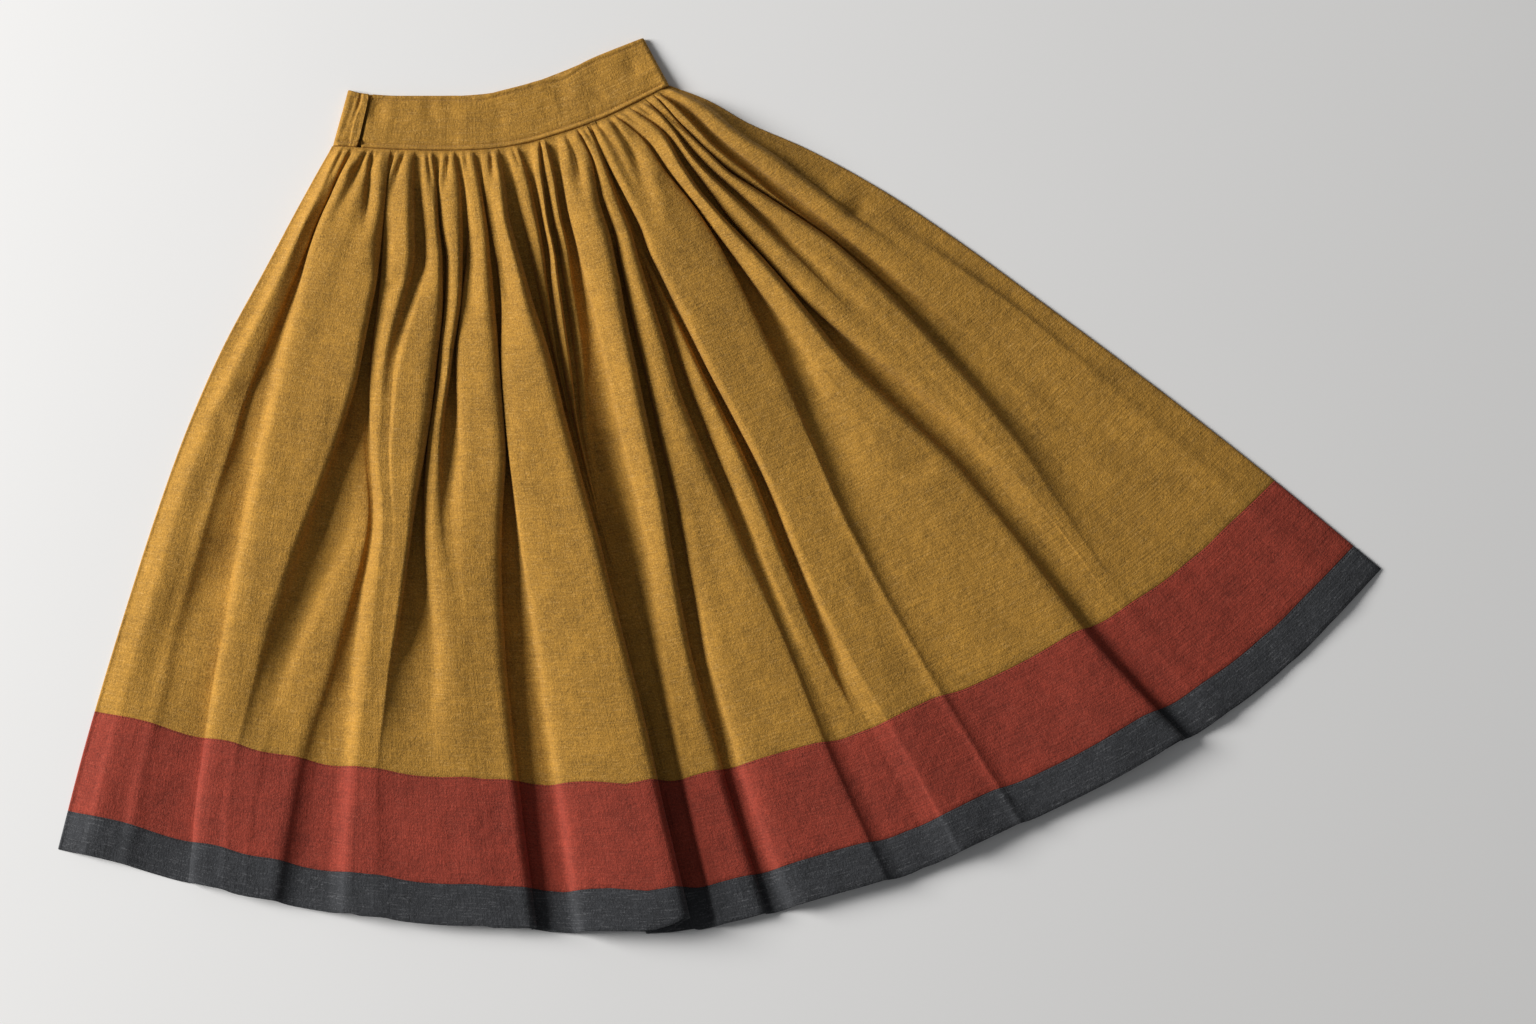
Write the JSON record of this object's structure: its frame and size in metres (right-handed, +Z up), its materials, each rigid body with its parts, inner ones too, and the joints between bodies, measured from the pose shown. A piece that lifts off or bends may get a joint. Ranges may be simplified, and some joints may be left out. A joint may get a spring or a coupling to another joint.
{
  "type": "gathered skirt",
  "caption": "Long gathered skirt laid flat: mustard body, rust-red band and charcoal hem band, gathered into a plain waistband that laps at the left side.",
  "frame": {"origin": "middle of the laid garment's footprint, on the surface that it lies on", "axes": "+Z up, away from the surface; +Y towards the waistband; +X across the garment, towards the long side of the fan"},
  "size_m": [1.322, 0.8959, 0.0246],
  "materials": {
    "mustard_cloth": "brushed wool and linen weave, matt with a soft nap",
    "rust_cloth": "brushed wool and linen weave, matt with a soft nap",
    "charcoal_cloth": "brushed wool and linen weave, matt with a soft nap"
  },
  "bodies": {
    "root": {"waistband": "mustard_cloth", "skirt_front": "mustard_cloth", "skirt_back": "mustard_cloth", "red_band_front": "rust_cloth", "red_band_back": "rust_cloth", "hem_band_front": "charcoal_cloth", "hem_band_back": "charcoal_cloth"}
  },
  "joints": []
}
